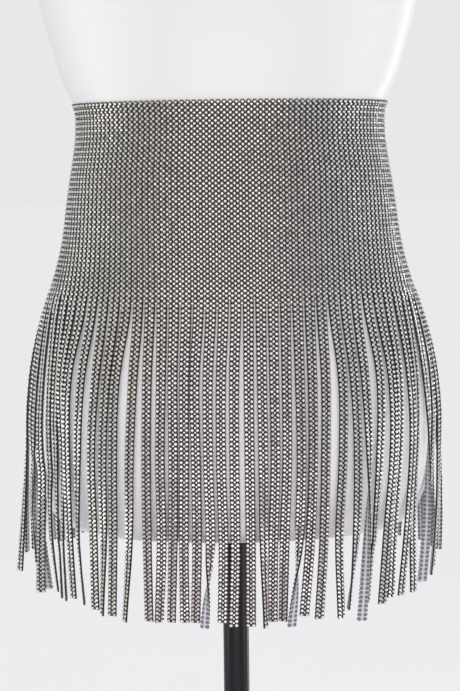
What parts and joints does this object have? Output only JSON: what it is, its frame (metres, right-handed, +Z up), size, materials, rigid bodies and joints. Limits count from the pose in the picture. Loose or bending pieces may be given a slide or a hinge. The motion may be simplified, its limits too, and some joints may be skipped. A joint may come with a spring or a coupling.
{
  "type": "rhinestone fringe belt on a dress form",
  "caption": "Deep rhinestone mesh belt with a long strip fringe, worn on a smooth limbless dress form that stands on a pole and a round base.",
  "frame": {"origin": "centre of the base plate's underside, on the floor", "axes": "+Z up the pole, -Y out of the belt's front, +X to the right of someone who looks at the front"},
  "size_m": [0.3434, 0.34, 1.49],
  "materials": {
    "belt_mesh": "black mesh that carries the stones",
    "belt_crystal": "faceted bright stones",
    "belt_trim": "black bound edge",
    "hook_metal": "satin",
    "form_white": "smooth satin white",
    "pole_black": "satin black"
  },
  "bodies": {
    "root": {"belt_band": "belt_mesh", "belt_fringe": "belt_mesh", "back_bar_left": "belt_trim", "back_bar_right": "belt_trim", "back_hook_1": "hook_metal", "back_hook_2": "hook_metal", "back_hook_3": "hook_metal", "dress_form": "form_white", "pole": "pole_black", "base_plate": "pole_black"}
  },
  "joints": []
}
